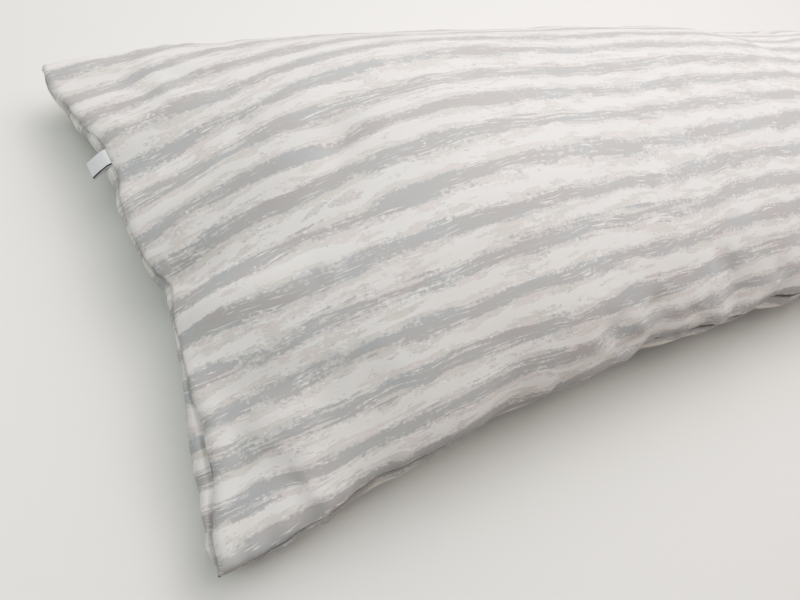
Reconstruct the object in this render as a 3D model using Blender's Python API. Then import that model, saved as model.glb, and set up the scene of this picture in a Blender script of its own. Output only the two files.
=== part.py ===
"""Body pillow on its back: a long filled pillow in a case of two panels, with a small folded side label.

Metres, Z up. The pillow lies along X with the labelled end at -X, and rests on Z = 0 with the origin
under its middle. A point of either panel is named by its place on the flat cloth: u along the case from
the labelled end, v across it from the near side, which is at -Y. The two panels share one seam all round.
"""

import math
from collections import namedtuple

import bmesh
import bpy
import numpy as np
from mathutils import Vector

# The case, sewn and laid flat
CASE_LENGTH = 1.45
CASE_WIDTH = 0.40

# The filled form
CROWN_RISE = 0.086
CROWN_TAPER = 0.16
SEAM_HEIGHT_NEAR = 0.076
SEAM_HEIGHT_FAR = 0.060
SEAM_HEIGHT_END = 0.050
SEAM_HEIGHT_CORNER = 0.024
END_RAMP = 0.26
CROWN_POWER_MIDDLE = 0.93
CROWN_POWER_END = 0.45
CORNER_GATHER = 0.94
CORNER_ROUNDING = 0.002
CORNER_REACH = 0.014
STEEPEST_SLOPE = 0.98

# The lower panel, from the seam down to the flat it lies on
UNDERSIDE_SPREAD = 1.5
UNDERSIDE_TURN = 1.4

# The seam lies in a shallow groove between the two panels
GROOVE_SWELL_TOP = 0.0015
GROOVE_SWELL_REACH = 0.012
BULGE_REACH = 0.020
SEAM_FEATURE_REACH = 0.030
TROUGH_SHARE = 0.8

# The mesh
CELLS_LONG = 92
CELLS_ACROSS = 30
FINE_STEPS = 4
CROWDING_LONG = 0.25
CROWDING_ACROSS = 0.40

# The folded label, sewn into the seam of the labelled end
LABEL_WIDTH = 0.012
LABEL_LENGTH = 0.016
LABEL_THICKNESS = 0.0012
LABEL_ACROSS = 0.290
LABEL_DROOP_DEG = 50.0
LABEL_CURL_DEG = 16.0
LABEL_STEPS = 8
SEAM_GAP = 0.0004

CLOTH_COLOUR = (0.72, 0.72, 0.71, 1.0)
LABEL_COLOUR = (0.86, 0.87, 0.88, 1.0)

# Where the seam is gathered: place along its edge, pull inwards, half width, reach of the trough inwards
Pucker = namedtuple("Pucker", "along pull half_width reach")
NEAR_PUCKERS = [
    Pucker(0.105, 0.0015, 0.016, 0.040),
    Pucker(0.205, 0.0020, 0.018, 0.045),
    Pucker(0.304, 0.0045, 0.017, 0.070),
    Pucker(0.345, 0.0030, 0.016, 0.060),
    Pucker(0.456, 0.0055, 0.018, 0.060),
    Pucker(0.600, 0.0045, 0.018, 0.055),
    Pucker(0.728, 0.0040, 0.018, 0.060),
    Pucker(0.871, 0.0050, 0.020, 0.055),
    Pucker(1.004, 0.0035, 0.018, 0.050),
    Pucker(1.142, 0.0050, 0.018, 0.060),
    Pucker(1.262, 0.0030, 0.016, 0.045),
    Pucker(1.358, 0.0025, 0.015, 0.040),
]
FAR_PUCKERS = [
    Pucker(0.120, 0.0025, 0.016, 0.045),
    Pucker(0.238, 0.0035, 0.018, 0.050),
    Pucker(0.371, 0.0045, 0.018, 0.060),
    Pucker(0.514, 0.0040, 0.020, 0.055),
    Pucker(0.668, 0.0055, 0.018, 0.070),
    Pucker(0.806, 0.0035, 0.018, 0.055),
    Pucker(0.930, 0.0050, 0.018, 0.060),
    Pucker(1.072, 0.0040, 0.020, 0.055),
    Pucker(1.205, 0.0045, 0.018, 0.055),
    Pucker(1.334, 0.0025, 0.015, 0.040),
]
LABEL_END_PUCKERS = [
    Pucker(0.098, 0.0012, 0.012, 0.040),
    Pucker(0.181, 0.0060, 0.012, 0.055),
    Pucker(0.266, 0.0025, 0.012, 0.045),
]
FAR_END_PUCKERS = [
    Pucker(0.085, 0.0030, 0.012, 0.040),
    Pucker(0.163, 0.0050, 0.013, 0.050),
    Pucker(0.241, 0.0045, 0.012, 0.050),
    Pucker(0.318, 0.0030, 0.012, 0.040),
]

# The run of each seam: place along it, offset outwards, lift, and bulge of the lower panel under it
SeamPoint = namedtuple("SeamPoint", "along outwards lift bulge")
LABEL_END_SEAM = [
    SeamPoint(0.000, -0.004, 0.000, 0.000),
    SeamPoint(0.030, -0.001, 0.002, 0.008),
    SeamPoint(0.080, -0.002, 0.005, 0.013),
    SeamPoint(0.122, 0.001, 0.003, 0.005),
    SeamPoint(0.155, 0.001, -0.005, 0.000),
    SeamPoint(0.181, 0.003, -0.002, 0.003),
    SeamPoint(0.222, 0.007, -0.002, 0.003),
    SeamPoint(0.262, 0.005, 0.001, 0.002),
    SeamPoint(0.290, -0.001, 0.003, 0.003),
    SeamPoint(0.330, 0.001, 0.002, 0.005),
    SeamPoint(0.370, 0.003, 0.000, 0.004),
    SeamPoint(0.400, 0.002, 0.000, 0.000),
]
FAR_END_SEAM = [
    SeamPoint(0.000, 0.000, 0.000, 0.000),
    SeamPoint(0.060, 0.002, 0.002, 0.004),
    SeamPoint(0.135, 0.004, -0.002, 0.003),
    SeamPoint(0.205, 0.003, 0.003, 0.006),
    SeamPoint(0.285, 0.005, -0.003, 0.003),
    SeamPoint(0.345, 0.002, 0.002, 0.004),
    SeamPoint(0.400, 0.000, 0.000, 0.000),
]
NEAR_SEAM = [
    SeamPoint(0.000, 0.000, 0.000, 0.000),
    SeamPoint(0.050, -0.001, 0.002, 0.006),
    SeamPoint(0.140, -0.004, 0.004, 0.003),
    SeamPoint(0.240, -0.004, -0.002, 0.002),
    SeamPoint(0.305, -0.001, -0.003, 0.002),
    SeamPoint(0.360, -0.009, 0.002, 0.002),
    SeamPoint(0.405, -0.006, 0.002, 0.005),
    SeamPoint(0.456, 0.002, -0.002, 0.003),
    SeamPoint(0.515, -0.008, 0.004, 0.005),
    SeamPoint(0.590, -0.001, -0.003, 0.003),
    SeamPoint(0.690, 0.002, 0.002, 0.005),
    SeamPoint(0.800, -0.003, -0.003, 0.003),
    SeamPoint(0.935, 0.003, 0.003, 0.005),
    SeamPoint(1.070, -0.002, -0.002, 0.003),
    SeamPoint(1.200, 0.002, 0.002, 0.004),
    SeamPoint(1.330, -0.002, 0.000, 0.003),
    SeamPoint(1.450, 0.000, 0.000, 0.000),
]
FAR_SEAM = [
    SeamPoint(0.000, 0.000, 0.000, 0.000),
    SeamPoint(0.090, 0.000, 0.001, 0.003),
    SeamPoint(0.180, 0.002, -0.002, 0.004),
    SeamPoint(0.305, 0.004, 0.003, 0.005),
    SeamPoint(0.440, 0.001, -0.003, 0.003),
    SeamPoint(0.590, 0.005, 0.002, 0.006),
    SeamPoint(0.735, 0.002, -0.002, 0.003),
    SeamPoint(0.865, 0.004, 0.003, 0.005),
    SeamPoint(1.000, 0.001, -0.002, 0.003),
    SeamPoint(1.140, 0.004, 0.002, 0.005),
    SeamPoint(1.290, 0.001, -0.001, 0.003),
    SeamPoint(1.450, 0.000, 0.000, 0.000),
]

# Soft troughs and ridges on the upper panel: centre u and v, heading from +X, half length, half width, rise
Fold = namedtuple("Fold", "u v heading_deg half_length half_width rise")
FOLDS = [
    Fold(0.134, 0.216, 34.0, 0.030, 0.013, -0.0055),
    Fold(0.106, 0.240, 28.0, 0.045, 0.016, 0.0030),
    Fold(0.062, 0.270, 24.0, 0.050, 0.014, -0.0035),
    Fold(0.052, 0.345, -30.0, 0.050, 0.014, -0.0030),
    Fold(0.056, 0.152, -4.0, 0.050, 0.014, 0.0035),
    Fold(0.044, 0.095, -12.0, 0.045, 0.014, -0.0040),
    Fold(0.062, 0.048, 38.0, 0.050, 0.014, -0.0030),
    Fold(0.225, 0.150, 12.0, 0.110, 0.026, 0.0025),
    Fold(0.330, 0.240, -8.0, 0.120, 0.030, -0.0025),
    Fold(0.326, 0.046, 66.0, 0.036, 0.014, -0.0045),
    Fold(0.352, 0.046, 62.0, 0.032, 0.014, 0.0030),
    Fold(0.478, 0.042, 54.0, 0.036, 0.014, -0.0040),
    Fold(0.520, 0.130, 10.0, 0.100, 0.026, -0.0025),
    Fold(0.728, 0.205, 92.0, 0.160, 0.075, -0.0090),
    Fold(0.690, 0.268, -44.0, 0.034, 0.014, -0.0030),
    Fold(0.930, 0.120, -12.0, 0.110, 0.028, 0.0025),
    Fold(1.080, 0.260, 9.0, 0.120, 0.030, -0.0030),
    Fold(1.220, 0.150, -7.0, 0.100, 0.026, -0.0025),
    Fold(1.385, 0.100, 158.0, 0.045, 0.014, -0.0035),
    Fold(1.392, 0.205, 4.0, 0.045, 0.014, -0.0035),
    Fold(1.388, 0.300, 22.0, 0.045, 0.014, -0.0035),
]


def crowded(count, crowding):
    """count + 1 shares from 0 to 1, closer together towards both ends."""
    even = np.linspace(0.0, 1.0, count + 1)
    return even - crowding / (2.0 * math.pi) * np.sin(2.0 * math.pi * even)


def bump(distance, half_width):
    """1 at no distance, falling smoothly away over half_width."""
    return np.exp(-((distance / half_width) ** 2))


def hump(distance, reach):
    """0 at no distance, 1 at reach, and falling away beyond it."""
    share = distance / reach
    return share * np.exp(1.0 - share)


def arch(v):
    """0 at both side seams and 1 half way across."""
    across = v / CASE_WIDTH
    return np.clip(4.0 * across * (1.0 - across), 0.0, 1.0)


def from_edge(u, v):
    """Distance on the flat cloth to the nearest seam."""
    return np.minimum(np.minimum(u, CASE_LENGTH - u), np.minimum(v, CASE_WIDTH - v))


def smooth_table(rows, along):
    """Each column of a table after the first, run smoothly through its rows, at the places along."""
    knots = np.array([row.along for row in rows])
    place = np.clip(np.searchsorted(knots, along, side="right") - 1, 0, len(knots) - 2)
    share = (along - knots[place]) / (knots[place + 1] - knots[place])
    ease = share * share * (3.0 - 2.0 * share)
    columns = np.array([row[1:] for row in rows])
    blended = columns[place] * (1.0 - ease)[..., None] + columns[place + 1] * ease[..., None]
    return np.moveaxis(blended, -1, 0)


def fullness(u):
    """Share of the full filling at u: none at the end seams, all of it from END_RAMP inwards."""
    share = np.clip(np.minimum(u, CASE_LENGTH - u) / END_RAMP, 0.0, 1.0)
    return np.sin(0.5 * math.pi * share)


def seam_level(u, v):
    """Height of the seam, carried inwards over the panel."""
    side = SEAM_HEIGHT_NEAR + (SEAM_HEIGHT_FAR - SEAM_HEIGHT_NEAR) * v / CASE_WIDTH
    filled = fullness(u)
    at_end = (SEAM_HEIGHT_END - SEAM_HEIGHT_CORNER) * arch(v) * (1.0 - filled)
    return SEAM_HEIGHT_CORNER + (side - SEAM_HEIGHT_CORNER) * filled + at_end


def upper_height(u, v):
    """Height of the upper panel before its folds."""
    filled = fullness(u)
    power = CROWN_POWER_END + (CROWN_POWER_MIDDLE - CROWN_POWER_END) * filled
    taper = 1.0 + CROWN_TAPER * (0.5 - u / CASE_LENGTH)
    return seam_level(u, v) + CROWN_RISE * taper * filled * arch(v) ** power


def underside_drop(distance, reach):
    """Share of the way down from the seam to the flat, at a distance along the lower panel."""
    share = np.clip(distance / reach, 0.0, 1.0)
    turned = np.cos(UNDERSIDE_TURN * (1.0 - share)) - math.cos(UNDERSIDE_TURN)
    return turned / (1.0 - math.cos(UNDERSIDE_TURN))


def lower_height(u, v):
    """Height of the lower panel, which is exactly 0 where it lies flat."""
    level = seam_level(u, v)
    from_end = underside_drop(np.minimum(u, CASE_LENGTH - u), UNDERSIDE_SPREAD * level)
    from_side = underside_drop(np.minimum(v, CASE_WIDTH - v), UNDERSIDE_SPREAD * level)
    return level * (1.0 - from_end * from_side)


def run_out(height, places, axis):
    """Plan distance along an axis that cloth of this height covers, measured from its middle."""
    slope = np.gradient(height, places, axis=axis)
    covered = np.sqrt(1.0 - np.clip(np.abs(slope), 0.0, STEEPEST_SLOPE) ** 2)
    covered = np.moveaxis(covered, axis, 0)
    steps = (covered[1:] + covered[:-1]) / 2.0 * np.diff(places)[:, None]
    plan = np.concatenate([np.zeros((1, covered.shape[1])), np.cumsum(steps, axis=0)])
    middle = np.array([np.interp(places[-1] / 2.0, places, column) for column in plan.T])
    return np.moveaxis(plan - middle, 0, axis)


def fit_between(plan, target, axis):
    """Stretches plan along an axis, so that its two edges meet those of target."""
    low_plan, high_plan = plan.take([0], axis), plan.take([-1], axis)
    low, high = target.take([0], axis), target.take([-1], axis)
    return low + (plan - low_plan) * (high - low) / (high_plan - low_plan)


def seam_displacement(u, v):
    """What the gathered seam does near each edge: offsets along X, Y and Z, and a bulge along X and Y."""
    shift = np.zeros(u.shape + (3,))
    swell = np.zeros(u.shape + (2,))
    edges = (
        (LABEL_END_SEAM, LABEL_END_PUCKERS, v, u, 0, -1.0),
        (FAR_END_SEAM, FAR_END_PUCKERS, v, CASE_LENGTH - u, 0, 1.0),
        (NEAR_SEAM, NEAR_PUCKERS, u, v, 1, -1.0),
        (FAR_SEAM, FAR_PUCKERS, u, CASE_WIDTH - v, 1, 1.0),
    )
    for rows, puckers, along, inwards, axis, sign in edges:
        outwards, lift, bulge = smooth_table(rows, along)
        gathered = sum(p.pull * bump(along - p.along, p.half_width) for p in puckers)
        fade = bump(inwards, SEAM_FEATURE_REACH)
        shift[..., axis] += sign * (outwards - gathered) * fade
        shift[..., 2] += lift * fade
        swell[..., axis] += sign * bulge * hump(inwards, BULGE_REACH)
    return shift, swell


def trough_depth(u, v):
    """Depth of the troughs that run into the panel from the puckers of the seam."""
    edges = (
        (LABEL_END_PUCKERS, v, u),
        (FAR_END_PUCKERS, v, CASE_LENGTH - u),
        (NEAR_PUCKERS, u, v),
        (FAR_PUCKERS, u, CASE_WIDTH - v),
    )
    depth = np.zeros(u.shape)
    for puckers, along, inwards in edges:
        for p in puckers:
            fanned = p.half_width * (1.0 + inwards / p.reach)
            depth += TROUGH_SHARE * p.pull * bump(along - p.along, fanned) * hump(inwards, p.reach)
    return depth


def fold_rise(u, v):
    """Height that the soft troughs and ridges add to the upper panel."""
    rise = np.zeros(u.shape)
    for fold in FOLDS:
        heading = math.radians(fold.heading_deg)
        ahead = (u - fold.u) * math.cos(heading) + (v - fold.v) * math.sin(heading)
        aside = (v - fold.v) * math.cos(heading) - (u - fold.u) * math.sin(heading)
        rise += fold.rise * bump(ahead, fold.half_length) * bump(aside, fold.half_width)
    return rise * (1.0 - bump(from_edge(u, v), GROOVE_SWELL_REACH))


def outward_normals(points):
    """Unit normals of a grid of points, on the side where u, v and the normal are right-handed."""
    along_u = np.gradient(points, axis=0)
    along_v = np.gradient(points, axis=1)
    normal = np.cross(along_u, along_v)
    return normal / np.maximum(np.linalg.norm(normal, axis=2, keepdims=True), 1e-12)


def round_corners(points, u, v):
    """Draws the four corner tips in a little, as the turned-in allowance does."""
    to_corner = np.minimum(u, CASE_LENGTH - u) + np.minimum(v, CASE_WIDTH - v)
    pull = CORNER_ROUNDING * np.exp(-to_corner / CORNER_REACH)
    points[..., 0] -= pull * np.sign(u - CASE_LENGTH / 2.0)
    points[..., 1] -= pull * np.sign(v - CASE_WIDTH / 2.0)


def panel_points(long_places, across_places):
    """The two panels as grids of points, upper and lower, with the seam on the edge of both."""
    u, v = np.meshgrid(long_places, across_places, indexing="ij")
    heights = {"upper": upper_height(u, v), "lower": lower_height(u, v)}
    gather = CORNER_GATHER + (1.0 - CORNER_GATHER) * fullness(u)
    plan_x = run_out(heights["upper"], long_places, 0)
    plan_y = run_out(heights["upper"], across_places, 1) * gather
    shift, swell = seam_displacement(u, v)
    groove_side = GROOVE_SWELL_TOP * hump(from_edge(u, v), GROOVE_SWELL_REACH) * fullness(u)

    upper = np.stack([plan_x, plan_y, heights["upper"]], axis=-1) + shift
    upper_offset = fold_rise(u, v) - trough_depth(u, v) + groove_side
    upper += outward_normals(upper) * upper_offset[..., None]

    lower_x = fit_between(run_out(heights["lower"], long_places, 0), plan_x, 0)
    lower_y = fit_between(run_out(heights["lower"], across_places, 1), plan_y, 1)
    lower = np.stack([lower_x, lower_y, heights["lower"]], axis=-1)
    lifted = np.clip(heights["lower"] / SEAM_HEIGHT_CORNER, 0.0, 1.0)
    lower += shift * lifted[..., None]
    lower[..., :2] += swell * lifted[..., None]

    for points in (upper, lower):
        round_corners(points, u, v)
    lower[0], lower[-1] = upper[0], upper[-1]
    lower[:, 0], lower[:, -1] = upper[:, 0], upper[:, -1]
    return upper, lower


def centred(upper, lower):
    """Both grids, moved so that the middle of their plan is at the origin."""
    both = np.concatenate([upper.reshape(-1, 3), lower.reshape(-1, 3)])
    middle = (both.min(axis=0) + both.max(axis=0)) / 2.0
    middle[2] = 0.0
    return upper - middle, lower - middle


def cloth_material(name, colour, roughness):
    """A plain matt cloth."""
    material = bpy.data.materials.new(name)
    material.use_nodes = True
    shader = material.node_tree.nodes["Principled BSDF"]
    shader.inputs["Base Color"].default_value = colour
    shader.inputs["Roughness"].default_value = roughness
    shader.inputs["Metallic"].default_value = 0.0
    return material


def add_object(name, mesh, material):
    """Puts a mesh in the scene under a node's name."""
    mesh.materials.append(material)
    built = bpy.data.objects.new(name, mesh)
    bpy.context.scene.collection.objects.link(built)
    return built


def pillow_mesh(upper, lower):
    """One closed solid: the upper grid, the lower grid, and the seam that they share."""
    form = bmesh.new()
    rows, columns = upper.shape[:2]
    top = [[form.verts.new(upper[i, j]) for j in range(columns)] for i in range(rows)]
    base = [list(line) for line in top]
    for i in range(1, rows - 1):
        for j in range(1, columns - 1):
            base[i][j] = form.verts.new(lower[i, j])
    resting = []
    for i in range(rows - 1):
        for j in range(columns - 1):
            form.faces.new((top[i][j], top[i + 1][j], top[i + 1][j + 1], top[i][j + 1]))
            under = form.faces.new((base[i][j], base[i][j + 1], base[i + 1][j + 1], base[i + 1][j]))
            if all(corner.co.z == 0.0 for corner in under.verts):
                resting.append(under)
    bmesh.ops.dissolve_faces(form, faces=resting, use_verts=False)
    uneven = [face for face in form.faces if len(face.verts) == 4]
    bmesh.ops.triangulate(form, faces=uneven, quad_method="SHORT_EDGE")
    mesh = bpy.data.meshes.new("pillow")
    form.to_mesh(mesh)
    form.free()
    mesh.shade_smooth()
    return mesh


def build_pillow(upper, lower):
    """The filled case, as one solid."""
    mesh = pillow_mesh(upper, lower)
    return add_object("pillow", mesh, cloth_material("printed_cotton", CLOTH_COLOUR, 0.9))


def seam_at(seam, across):
    """Point of the labelled end's seam at a place across the flat cloth."""
    places = CASE_WIDTH * crowded(CELLS_ACROSS, CROWDING_ACROSS)
    return Vector([float(np.interp(across, places, seam[:, k])) for k in range(3)])


def build_label(seam):
    """The folded label: a flat strip that leaves the seam, bends down and hangs over the lower panel."""
    sides = [seam_at(seam, LABEL_ACROSS + offset) for offset in (-LABEL_WIDTH / 2.0, LABEL_WIDTH / 2.0)]
    width_way = (sides[1] - sides[0]).normalized()
    outwards = width_way.cross(Vector((0.0, 0.0, -1.0))).normalized()
    if outwards.x > 0.0:
        outwards.negate()
    between = [seam_at(seam, LABEL_ACROSS + LABEL_WIDTH * share) for share in np.linspace(-0.5, 0.5, 9)]
    furthest = max((point - sides[0]).dot(outwards) for point in between)
    start = (sides[0] + sides[1]) / 2.0 + outwards * (furthest + SEAM_GAP)
    form = bmesh.new()
    rings = []
    centre = start.copy()
    step = LABEL_LENGTH / LABEL_STEPS
    for k in range(LABEL_STEPS + 1):
        share = k / LABEL_STEPS
        eased = min(1.0, 4.0 * share)
        droop = math.radians((LABEL_DROOP_DEG + LABEL_CURL_DEG * share) * eased)
        ahead = outwards * math.cos(droop) - Vector((0.0, 0.0, math.sin(droop)))
        if k > 0:
            centre = centre + ahead * step
        across = width_way * (LABEL_WIDTH / 2.0)
        through = ahead.cross(width_way).normalized() * (LABEL_THICKNESS / 2.0)
        signs = ((-1, -1), (1, -1), (1, 1), (-1, 1))
        rings.append([form.verts.new(centre + across * i + through * j) for i, j in signs])
    for ring, following in zip(rings, rings[1:]):
        for k in range(4):
            form.faces.new((ring[k], ring[(k + 1) % 4], following[(k + 1) % 4], following[k]))
    form.faces.new(tuple(reversed(rings[0])))
    form.faces.new(tuple(rings[-1]))
    bmesh.ops.recalc_face_normals(form, faces=form.faces[:])
    mesh = bpy.data.meshes.new("side_label")
    form.to_mesh(mesh)
    form.free()
    return add_object("side_label", mesh, cloth_material("label_tape", LABEL_COLOUR, 0.8))


def main():
    for old in list(bpy.data.objects):
        bpy.data.objects.remove(old)
    long_places = CASE_LENGTH * crowded(CELLS_LONG * FINE_STEPS, CROWDING_LONG)
    across_places = CASE_WIDTH * crowded(CELLS_ACROSS * FINE_STEPS, CROWDING_ACROSS)
    fine_upper, fine_lower = panel_points(long_places, across_places)
    step = FINE_STEPS
    upper, lower = centred(fine_upper[::step, ::step], fine_lower[::step, ::step])
    build_pillow(upper, lower)
    build_label(upper[0])


main()
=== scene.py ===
"""Looks of a body pillow on its back: a long filled case of brushed striped cotton, and its folded label.

Metres, Z up. The pillow lies along X with the labelled end at -X, and rests on Z = 0. A point of either
panel is named by its place on the flat cloth: u along the case from the labelled end, v across it from the
near side, which is at -Y. The two panels share one seam all round.
"""

import math
from collections import namedtuple

import bmesh
import bpy
import numpy as np
from mathutils import Matrix, Vector


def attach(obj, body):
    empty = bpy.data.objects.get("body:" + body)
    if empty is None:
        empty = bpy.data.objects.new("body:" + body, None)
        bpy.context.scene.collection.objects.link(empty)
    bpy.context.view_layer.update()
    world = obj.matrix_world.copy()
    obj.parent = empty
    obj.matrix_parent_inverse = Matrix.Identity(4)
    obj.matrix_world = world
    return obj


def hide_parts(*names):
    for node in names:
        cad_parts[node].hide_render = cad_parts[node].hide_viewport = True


# The case, sewn and laid flat
CASE_LENGTH = 1.45
CASE_WIDTH = 0.40

# The filled form, and where its middle falls from the middle of the flat cloth
FORM_MIDDLE = (-0.001, 0.0, 0.0)
CROWN_RISE = 0.086
CROWN_TAPER = 0.16
SEAM_HEIGHT_NEAR = 0.076
SEAM_HEIGHT_FAR = 0.060
SEAM_HEIGHT_END = 0.050
SEAM_HEIGHT_CORNER = 0.024
END_RAMP = 0.26
CROWN_POWER_MIDDLE = 0.93
CROWN_POWER_END = 0.45
CORNER_GATHER = 0.94
CORNER_ROUNDING = 0.0035
CORNER_REACH = 0.014
CORNER_PUFF = 0.0085
CORNER_PUFF_REACH = 0.026
CORNER_PUFF_RISE = 0.003
STEEPEST_SLOPE = 0.98

# The lower panel, from the seam down to the flat it lies on
UNDERSIDE_SPREAD = 1.5
UNDERSIDE_TURN = 1.4

# The seam lies in a shallow groove, and its run and its puckers are felt some way inwards
GROOVE_SWELL_TOP = 0.0015
GROOVE_SWELL_REACH = 0.012
BULGE_REACH = 0.020
SEAM_FEATURE_REACH = 0.030
TROUGH_SHARE = 0.8

# The mesh of the case: the cells on which the cloth settles, each then split in two both ways
CELLS_LONG = 220
CELLS_ACROSS = 55
CROWDING_LONG = 0.30
CROWDING_ACROSS = 0.60

# How the cloth settles over its filling: its spare length, and what is kept of the creases
SETTLE_FRAMES = 20
SETTLE_PRESSURE = 1.0
SPARE_CLOTH = 0.04
CLOTH_MASS = 0.3
CLOTH_STIFFNESS = 15.0
CLOTH_SHEAR = 5.0
CLOTH_BENDING = 0.5
CREASE_SPREAD = 6
CREASE_LIMIT = 0.004
CREASE_SHARE = 0.6
CREASE_SHARE_INSIDE = 0.4
CREASE_LOSS_AT_SEAM = 0.6
CREASE_EDGE_REACH = 0.030
CREASE_INNER_REACH = 0.100
CREASE_CLEARANCE = 0.020

# The line of the seam, and the small gathers on both of its sides: their swell and reach are in wave lengths
SEAM_LINE_DEPTH = 0.0014
SEAM_LINE_REACH = 0.0024
GATHER_HEIGHT = 0.0004
GATHER_WAVES = (0.0140, 0.0190, 0.0270, 0.0390, 0.0560)
GATHER_SWELL = 6.3
GATHER_REACH = 0.35

# The folded label, sewn into the seam of the labelled end; LABEL_BENT_BY is a share of its length
LABEL_WIDTH = 0.012
LABEL_LENGTH = 0.016
LABEL_ACROSS = 0.290
LABEL_DROOP_DEG = 38.0
LABEL_CURL_DEG = 14.0
LABEL_BENT_BY = 0.25
TAPE_THICKNESS = 0.0003
FOLD_RADIUS = 0.0004
TAPE_HIDDEN = 0.0008
TAPE_STEPS = 20
FOLD_STEPS = 10
TAPE_CELLS_ACROSS = 12
TAPE_SHARP_DEG = 50.0

# Keeps a division by a length sound where there is no length
TINY = 1e-12

# Millimetres in a metre: the flat cloth's print and weave are in millimetres
MM = 1000.0

# The print's bands, in millimetres, and the place on the printed cloth that the lower panel was cut from
BAND_PITCH = 26.4
FIRST_BAND = 8.4
BAND_DEPTH = 4.3
LOWER_PANEL_CUT = (310.0, 611.0)

# What breaks the bands up: strength of streaks in solid bands, and what streaky ones add to it
BAND_SEED = 41.0
STREAK_STRENGTH = 8.0
STREAKY_EXTRA = 13.0

# What lies along the bands: width of the half tones, places of outline and fringe, and two shares
HALO_WIDTH = 2.4
OUTLINE_INSET = 0.4
OUTLINE_STRENGTH = 0.6
FRINGE_OUTSIDE = 0.4
PALE_INK_SHARE = 0.45

# Noises of both cloths: length and height of features in millimetres, seed, strength, detail, roughness
Noise = namedtuple("Noise", "length height seed strength detail roughness", defaults=(1.0, 1.0, 0.5))
NOISES = {
    "slow wander": Noise(110.0, 55.0, 3.0, 15.0),
    "quick wander": Noise(38.0, 22.0, 9.0, 7.0),
    "streakiness": Noise(90.0, 22.0, 17.0, 1.1),
    "long swells": Noise(62.0, 14.0, 21.0, 9.0),
    "short swells": Noise(24.0, 6.0, 25.0, 6.0),
    "streaks": Noise(46.0, 2.1, 31.0, 1.0, 2.0, 0.6),
    "long dabs": Noise(7.0, 3.6, 53.0, 5.5),
    "tall dabs": Noise(2.4, 3.2, 57.0, 5.0),
    "fine dabs": Noise(3.0, 1.6, 47.0, 6.0, 2.0, 0.6),
    "long halo": Noise(34.0, 6.5, 83.0, 20.0),
    "short halo": Noise(9.0, 3.0, 87.0, 8.0),
    "fine halo": Noise(3.0, 1.5, 89.0, 6.0),
    "outline waver": Noise(3.0, 1.2, 91.0, 6.0),
    "outline runs": Noise(12.0, 6.0, 93.0),
    "dashes": Noise(20.0, 1.0, 107.0, 1.0, 2.0, 0.6),
    "dash patches": Noise(40.0, 12.0, 109.0),
    "flecks": Noise(3.6, 1.25, 101.0, 1.0, 2.0, 0.6),
    "fleck patches": Noise(22.0, 8.0, 103.0),
    "grey lean": Noise(48.0, 13.0, 71.0),
    "warm lean": Noise(40.0, 12.0, 75.0),
    "white lean": Noise(50.0, 12.0, 79.0),
    "slubs": Noise(3.0, 0.5, 97.0, 1.0, 2.0),
    "painted seam shade": Noise(35.0, 35.0, 113.0),
    "fray": Noise(0.6, 0.3, 5.0, 1.0, 2.0),
}

# Where each effect of the print sets in, and where it is complete or, for outline and fringe, gone
STREAKY = (0.42, 0.72)
INK = (-0.5, 0.9)
DEEP_INK = (0.8, 2.8)
HALF_TONE = (-1.0, 1.6)
OUTLINE = (0.2, 0.9)
OUTLINE_RUNS = (0.0, 0.10)
DASHES = (0.09, 0.16)
DASH_PATCHES = (-0.06, 0.06)
FRINGE = (1.0, 4.2)
FLECKS = (0.055, 0.125)
FLECK_PATCHES = (-0.08, 0.06)
BLUE_TO_PLAIN = (-0.14, -0.02)
PLAIN_TO_MAUVE = (0.03, 0.15)
SAND_TO_ROSE = (-0.08, 0.08)
WHITE_TO_WARM = (-0.06, 0.12)

# Painted shade in the seam's groove: strong where the sides are tucked under, apart from one pinch; in
# millimetres
PAINTED_SEAM_SHADE = 0.75
PAINTED_SEAM_SHADE_REACH = (1.0, 2.3)
TUCKED = (330.0, 345.0)
SEAM_PINCH = 456.0
PINCH_CLEARANCE = (6.0, 14.0)
FAINT_PAINTED_SHADE = (0.10, 0.45)
FAINT_PAINTED_SHADE_RUNS = (-0.15, 0.15)

# The weave of the cotton, and how much it and its slubs shade and lift the cloth
WEAVE_PITCH = 0.56
WEAVE_SHADE = 0.02
WEAVE_RELIEF = 0.5
SLUB_SHADE = 0.06
SLUB_RELIEF = 0.9

# The weave of the label's tape, and the dark line along one of its edges, in millimetres
RIB_PITCH = 0.32
RIB_RELIEF = 0.6
THREAD_PITCH = 0.24
THREAD_RELIEF = 0.3
FRAY_SHADE = 0.9
FRAY_RELIEF = 0.8
TAPE_LINE = (0.2, 1.5)
TAPE_LINE_SOFTNESS = 0.06
TAPE_LINE_WAVER = 0.18

# How each cloth takes the light: roughness, specular level, and strength and height of its relief
Finish = namedtuple("Finish", "roughness specular strength height")
COTTON_FINISH = Finish(0.86, 0.25, 0.35, 0.00018)
TAPE_FINISH = Finish(0.6, 0.35, 0.5, 0.00008)
COTTON_SHEEN = 0.12
COTTON_SHEEN_ROUGHNESS = 0.5

# Colours
WHITE = (0.770, 0.765, 0.740, 1.0)
WARM_WHITE = (0.755, 0.738, 0.710, 1.0)
FLECK_WHITE = (0.800, 0.800, 0.785, 1.0)
BLUE_GREY = (0.407, 0.428, 0.434, 1.0)
PLAIN_GREY = (0.415, 0.416, 0.412, 1.0)
MAUVE_GREY = (0.422, 0.398, 0.398, 1.0)
SAND = (0.630, 0.605, 0.562, 1.0)
ROSE = (0.668, 0.612, 0.588, 1.0)
TAPE_WHITE = (0.80, 0.82, 0.84, 1.0)
TAPE_SHADE = (0.70, 0.73, 0.76, 1.0)
TAPE_DARK = (0.025, 0.025, 0.030, 1.0)

# The floor, a hair below the pillow
FLOOR_COLOUR = (0.715, 0.722, 0.692, 1.0)
FLOOR_ROUGHNESS = 0.5
FLOOR_HALF_SIZE = 6.0
FLOOR_GAP = 0.0002

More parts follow.
